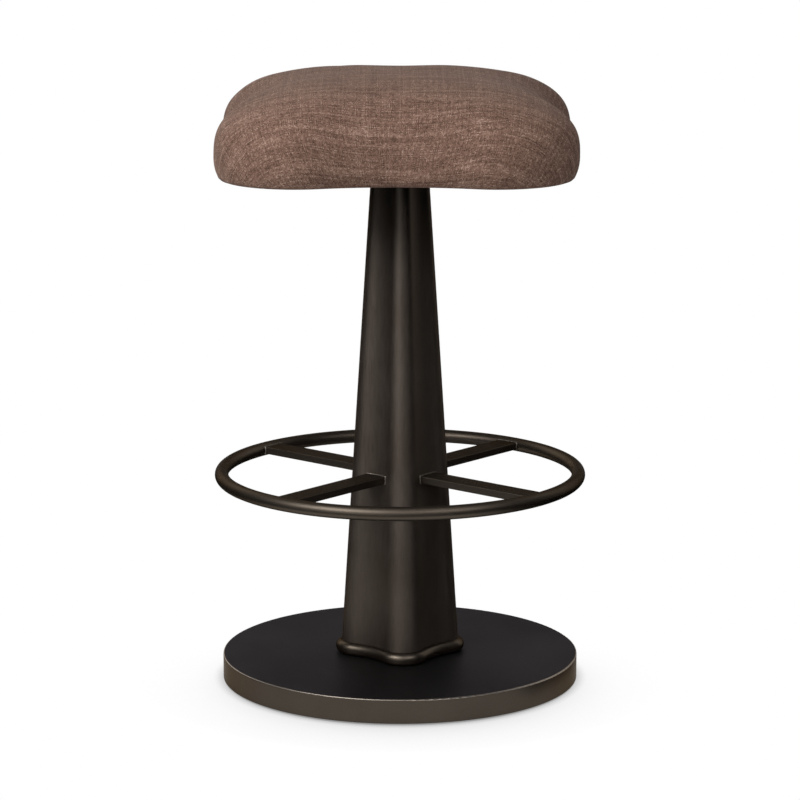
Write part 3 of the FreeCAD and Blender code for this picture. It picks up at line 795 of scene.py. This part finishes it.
def soften(piece, held):
    """Shallow dents, as hand-laid padding has."""
    points = get_points(piece.data)
    normals = get_normals(piece.data)
    waves = np.zeros(len(points))
    for direction, length, phase in DENT_WAVES:
        waves += np.sin(points @ np.array(direction) * 2 * math.pi / length + phase)
    dents = waves / len(DENT_WAVES) * DENT_HEIGHT * ~held
    set_points(piece.data, points + normals * dents[:, None])


def make_cushion(finish):
    low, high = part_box("seat_cover")
    board_low, board_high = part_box("seat_board")
    closing_height = (board_low.z + board_high.z) / 2
    points, faces, weave, held = cushion_mesh(low.z, high.z, closing_height, GRID_HALF_COUNT)
    shift = filled_shift(low.z, high.z, closing_height)
    points[:len(shift)] += shift * (~held[:len(shift)])[:, None]
    piece = mesh_piece("seat_cushion", points, faces)
    attribute = piece.data.attributes.new("weave", "FLOAT_VECTOR", "POINT")
    attribute.data.foreach_set("vector", weave.astype(np.float32).ravel())
    soften(piece, held)
    piece.data.materials.append(finish)
    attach(piece, "seat")
    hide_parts("seat_cover", "seat_foam")


# Cloth under the seat

def dust_cloth_mesh(z):
    """Flat cloth with a square hole, ring by ring from the hole outwards, and the area of its cut."""
    angles = np.linspace(0.0, 2 * math.pi, CLOTH_SPOKES, endpoint=False)
    inner = lobed_radius(angles, CLOTH_HOLE_HALF_WIDTH, CLOTH_HOLE_CORNER, NO_HOLLOW)
    outer = lobed_radius(angles, CLOTH_HALF_WIDTH, CLOTH_CORNER_RADIUS, SEAT_HOLLOW_DEPTH)
    radii = inner + np.linspace(0.0, 1.0, CLOTH_RINGS)[:, None] * (outer - inner)
    turned = angles + SEAT_TURN
    x = radii * np.cos(turned)
    y = radii * np.sin(turned)
    points = np.column_stack([x.ravel(), y.ravel(), np.full(radii.size, z)])
    rings = np.arange(radii.size).reshape(radii.shape).tolist()
    faces = []
    for ring, next_ring in zip(rings, rings[1:]):
        faces += band_faces(ring, next_ring)
    area = float(np.mean(outer ** 2 - inner ** 2) * math.pi)
    return points, faces, area


def stapled(points):
    """Which points of the cloth lie by a staple."""
    staples = frame["nodes"]["dust_cover_staples"]
    backs = np.array([staples.matrix_world @ vertex.co for vertex in staples.data.vertices])[:, :2]
    gaps = [np.min(np.hypot(backs[:, 0] - x, backs[:, 1] - y)) for x, y in points[:, :2]]
    return np.array(gaps) < STAPLE_REACH


def make_dust_cloth(finish):
    """A cloth that sags a little between its staples."""
    _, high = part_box("dust_cover")
    points, faces, area = dust_cloth_mesh(high.z)
    piece = mesh_piece("dust_cloth", points, faces)
    run_cloth(piece, stapled(points), HANG_FRAMES, HANG_GRAVITY, HANG_SETTINGS)
    thickness = piece.modifiers.new("thickness", "SOLIDIFY")
    thickness.thickness = CLOTH_THICKNESS
    thickness.offset = -1.0
    piece.data.materials.append(finish)
    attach(piece, "seat")
    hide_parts("dust_cover")


# Welds

def bar_outline():
    """Points evenly spaced around a spoke's cross-section, as two rows: across and up."""
    reach = np.array([SPOKE_HALF_WIDTH - SPOKE_EDGE_ROUND, SPOKE_HALF_THICKNESS - SPOKE_EDGE_ROUND])
    rough = []
    for quarter, signs in enumerate([(1, 1), (-1, 1), (-1, -1), (1, -1)]):
        for angle in np.linspace(quarter, quarter + 1, WELD_CORNER_POINTS) * math.pi / 2:
            rough.append(reach * signs + SPOKE_EDGE_ROUND * np.array([math.cos(angle), math.sin(angle)]))
    rough = np.array(rough + rough[:1])
    walked = np.append(0.0, np.cumsum(np.hypot(*np.diff(rough, axis=0).T)))
    stops = np.linspace(0.0, walked[-1], WELD_POINTS, endpoint=False)
    return np.interp(stops, walked, rough[:, 0]), np.interp(stops, walked, rough[:, 1])


def column_reach(across, up):
    """Distance from the axis to the hollow face of the column that a spoke runs into."""
    return FLUTE_MIDDLE - np.sqrt(FLUTE_RADIUS ** 2 - across ** 2) - COLUMN_TAPER * up


def ring_reach(across, up):
    """Distance from the axis to the inner face of the foot ring."""
    inner = RING_RADIUS - np.sqrt(RING_BAR_RADIUS ** 2 - up ** 2)
    return np.sqrt(inner ** 2 - across ** 2)


def weld_tube(path, outwards):
    """Rippled bead along a closed path, with outwards as the first direction of its rings."""
    forward = np.roll(path, -1, axis=0) - np.roll(path, 1, axis=0)
    forward /= np.linalg.norm(forward, axis=1)[:, None]
    first = outwards - forward * (forward @ outwards)[:, None]
    first /= np.linalg.norm(first, axis=1)[:, None]
    second = np.cross(forward, first)
    turn = np.linspace(0.0, 2 * math.pi, WELD_SIDES, endpoint=False)
    phase = np.linspace(0.0, 2 * math.pi * WELD_RIPPLES, len(path), endpoint=False)
    ripple = 1 + WELD_RIPPLE_DEPTH * np.sin(phase)
    radius = WELD_RADIUS * ripple[:, None, None]
    rings = first[:, None, :] * np.cos(turn)[None, :, None] + second[:, None, :] * np.sin(turn)[None, :, None]
    points = (path[:, None, :] + rings * radius).reshape(-1, 3)
    faces = []
    for row in range(len(path)):
        below = row * WELD_SIDES
        above = (row + 1) % len(path) * WELD_SIDES
        for side in range(WELD_SIDES):
            after = (side + 1) % WELD_SIDES
            faces.append((below + side, below + after, above + after, above + side))
    return points, faces


def make_welds(name, reach, finish):
    """A bead round one end of each spoke."""
    across, up = bar_outline()
    along = reach(across, up)
    points, faces = [], []
    for angle in SPOKE_ANGLES:
        cosine, sine = math.cos(angle), math.sin(angle)
        x = along * cosine - across * sine
        y = along * sine + across * cosine
        path = np.column_stack([x, y, RING_HEIGHT + up])
        tube_points, tube_faces = weld_tube(path, np.array([cosine, sine, 0.0]))
        shift = len(points)
        points.extend(tube_points)
        faces.extend(tuple(corner + shift for corner in face) for face in tube_faces)
    piece = mesh_piece(name, points, faces)
    piece.data.materials.append(finish)
    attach(piece, "stand")


# Studio

def ray_switch(tree):
    """1 for rays that show the background, by eye, in reflections or through glass."""
    path = tree.nodes.new("ShaderNodeLightPath")
    total = path.outputs["Is Camera Ray"]
    for kind in ("Is Glossy Ray", "Is Transmission Ray"):
        adder = tree.nodes.new("ShaderNodeMath")
        adder.operation = "MAXIMUM"
        tree.links.new(total, adder.inputs[0])
        tree.links.new(path.outputs[kind], adder.inputs[1])
        total = adder.outputs[0]
    return total


def show_by_ray(tree, lighting, seen, output_kind):
    """Joins the shader that lights the stool and the one that rays of the background show."""
    mix = tree.nodes.new("ShaderNodeMixShader")
    tree.links.new(ray_switch(tree), mix.inputs[0])
    tree.links.new(lighting, mix.inputs[1])
    tree.links.new(seen, mix.inputs[2])
    output = tree.nodes.new(output_kind)
    tree.links.new(mix.outputs[0], output.inputs[0])


def make_world():
    world = bpy.data.worlds.new("studio")
    bpy.context.scene.world = world
    world.use_nodes = True
    tree = world.node_tree
    tree.nodes.clear()
    levels = []
    for level in (AMBIENT_LEVEL, BACKGROUND_LEVEL):
        background = tree.nodes.new("ShaderNodeBackground")
        background.inputs["Strength"].default_value = level
        background.inputs["Color"].default_value = (1.0, 1.0, 1.0, 1.0)
        levels.append(background.outputs[0])
    show_by_ray(tree, levels[0], levels[1], "ShaderNodeOutputWorld")


def floor_shadow(tree, reach, tone):
    """Brightness of the floor: 1 in the open, falling to tone where something within reach shuts it in.

    Gives that brightness, and the socket for the direction in which the floor looks out.
    """
    shut_in = tree.nodes.new("ShaderNodeAmbientOcclusion")
    shut_in.samples = SHADOW_SAMPLES
    shut_in.inputs["Distance"].default_value = reach
    level = tree.nodes.new("ShaderNodeMapRange")
    tree.links.new(shut_in.outputs["AO"], level.inputs["Value"])
    level.inputs["From Max"].default_value = OPEN_FLOOR_SHARE
    level.inputs["To Min"].default_value = tone
    return level.outputs[0], shut_in.inputs["Normal"]


def make_floor():
    half = FLOOR_SIZE / 2
    corners = [(-half, -half, 0.0), (half, -half, 0.0), (half, half, 0.0), (-half, half, 0.0)]
    floor = mesh_piece("floor", corners, [(0, 1, 2, 3)], smooth=False)
    finish = bpy.data.materials.new("floor_white")
    finish.use_nodes = True
    tree = finish.node_tree
    tree.nodes.clear()
    plain = tree.nodes.new("ShaderNodeBsdfDiffuse")
    plain.inputs["Color"].default_value = (FLOOR_ALBEDO, FLOOR_ALBEDO, FLOOR_ALBEDO, 1.0)
    wide, wide_facing = floor_shadow(tree, WIDE_SHADOW_REACH, WIDE_SHADOW_TONE)
    tight, _ = floor_shadow(tree, TIGHT_SHADOW_REACH, TIGHT_SHADOW_TONE)
    backwards = tree.nodes.new("ShaderNodeCombineXYZ")
    for socket, part in zip(backwards.inputs, WIDE_SHADOW_FACING):
        socket.default_value = part
    tree.links.new(backwards.outputs[0], wide_facing)
    both = tree.nodes.new("ShaderNodeMath")
    both.operation = "MULTIPLY"
    tree.links.new(wide, both.inputs[0])
    tree.links.new(tight, both.inputs[1])
    seen = tree.nodes.new("ShaderNodeEmission")
    tree.links.new(both.outputs[0], seen.inputs["Strength"])
    show_by_ray(tree, plain.outputs[0], seen.outputs[0], "ShaderNodeOutputMaterial")
    floor.data.materials.append(finish)


def softbox(name, place, width, height, level):
    """An area lamp whose face has the given brightness, where 1 is white."""
    lamp = bpy.data.lights.new(name, "AREA")
    lamp.shape = "RECTANGLE"
    lamp.size = width
    lamp.size_y = height
    lamp.energy = level * math.pi * width * height
    item = link_object(name, lamp)
    item.visible_camera = False
    item.location = place
    item.rotation_euler = (Vector(LAMP_TARGET) - Vector(place)).to_track_quat("-Z", "Y").to_euler()


def flag(name, section, from_angle, to_angle, finish):
    """A black screen swept around the axis, which takes reflections away; 0 degrees is in front."""
    steps = round((to_angle - from_angle) / FLAG_STEP_DEGREES) + 1
    points = []
    for angle in np.radians(np.linspace(from_angle, to_angle, steps)):
        points += [(radius * math.sin(angle), -radius * math.cos(angle), z) for radius, z in section]
    screen = mesh_piece(name, points, grid_faces(steps, len(section)))
    screen.data.materials.append(finish)
    screen.visible_camera = False
    screen.visible_diffuse = False
    screen.visible_shadow = False


def make_studio():
    make_world()
    make_floor()
    for name, place, width, height, level in LAMPS:
        softbox(name, place, width, height, level)
    black = paint_finish("flag_black", FLAG_TONES, FLAG_ROUGHNESS, FLAG_SPECK)
    for name, section, from_angle, to_angle in FLAGS:
        flag(name, section, from_angle, to_angle, black)


def make_camera():
    data = bpy.data.cameras.new("camera")
    data.lens = CAMERA_LENS_MM
    data.sensor_width = CAMERA_SENSOR_MM
    camera = link_object("camera", data)
    x = -CAMERA_DISTANCE * math.sin(CAMERA_AZIMUTH)
    y = -CAMERA_DISTANCE * math.cos(CAMERA_AZIMUTH)
    camera.location = (x, y, CAMERA_HEIGHT)
    camera.rotation_euler = (CAMERA_TILT, 0.0, -CAMERA_AZIMUTH)
    bpy.context.scene.camera = camera


# Build

bpy.context.scene.view_settings.view_transform = "Standard"
make_camera()
make_studio()
dress_frame({
    "dark_bronze": bronze_finish("ring_bronze", RING_TONES, FINE_GRAIN, RING_ROUGHNESS),
    "foot_bead": bronze_finish("bead_bronze", RING_TONES, FINE_GRAIN, BEAD_ROUGHNESS),
    "column_shell": bronze_finish("column_bronze", COLUMN_TONES, UPRIGHT_GRAIN, COLUMN_ROUGHNESS),
    "base_metal": base_finish("base_bronze"),
    "black_paint": paint_finish("black_paint", PAINT_TONES, PAINT_ROUGHNESS, PAINT_SPECK),
    "bare_steel": plain_metal("bare_steel", STEEL_TONES, STEEL_GRAIN, STEEL_ROUGHNESS),
    "bush_bronze": plain_metal("bush_bronze", BUSH_TONES, BUSH_GRAIN, BUSH_ROUGHNESS),
    "black_plastic": paint_finish("black_plastic", PLASTIC_TONES, PLASTIC_ROUGHNESS, PLASTIC_SPECK),
    "plywood": plywood_finish("plywood"),
    "foam": felt_finish("foam", FOAM_TONES),
    "upholstery": felt_finish("cover_underlay", UNDERLAY_TONES),
    "dust_cloth": felt_finish("dust_cloth", DUST_CLOTH_TONES),
})
make_cushion(fabric_finish("heathered_weave"))
make_dust_cloth(felt_finish("dust_cloth_weave", DUST_CLOTH_TONES))
# Welds: bronze lightened with a painted glint
weld_glint_finish = bronze_finish("weld_bronze_glint", WELD_GLINT_TONES, FINE_GRAIN, WELD_ROUGHNESS)
make_welds("spoke_welds_column", column_reach, weld_glint_finish)
make_welds("spoke_welds_ring", ring_reach, weld_glint_finish)
